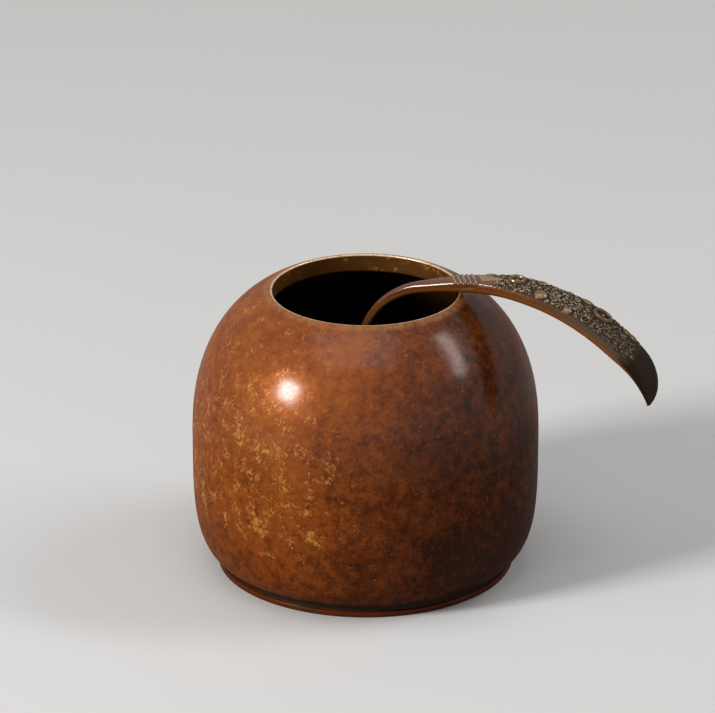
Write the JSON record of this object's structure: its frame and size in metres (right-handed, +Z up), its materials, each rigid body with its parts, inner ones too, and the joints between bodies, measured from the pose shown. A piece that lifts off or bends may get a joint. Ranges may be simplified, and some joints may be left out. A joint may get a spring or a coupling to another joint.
{
  "type": "water pot with spoon",
  "caption": "Vat shaped bronze water pot with a narrow mouth and a soldered foot plate, with a loose cast water spoon leaning over its lip.",
  "frame": {"origin": "middle of the pot's flat underside, on the axis of the pot", "axes": "+Z up along the pot's axis; +X towards the side of the mouth that the spoon's handle leans over; the picture looks along +Y"},
  "size_m": [0.1066, 0.08, 0.0723],
  "materials": {
    "pot_bronze": "cast bronze with a waxed reddish brown patina, mottled golden orange, half gloss",
    "foot_bronze": "cast bronze with a darker brown patina, half gloss",
    "spoon_bronze": "cast bronze, dark brown patina in the hollows and worn bright on the raised work"
  },
  "bodies": {
    "pot": {"pot_body": "pot_bronze", "base_plate": "foot_bronze"},
    "spoon": {"water_spoon": "spoon_bronze"}
  },
  "joints": [
    {"name": "spoon_lift", "type": "slide", "parent": "pot", "child": "spoon", "axis": [0, 0, 1], "range_m": [0, 0.07]}
  ]
}
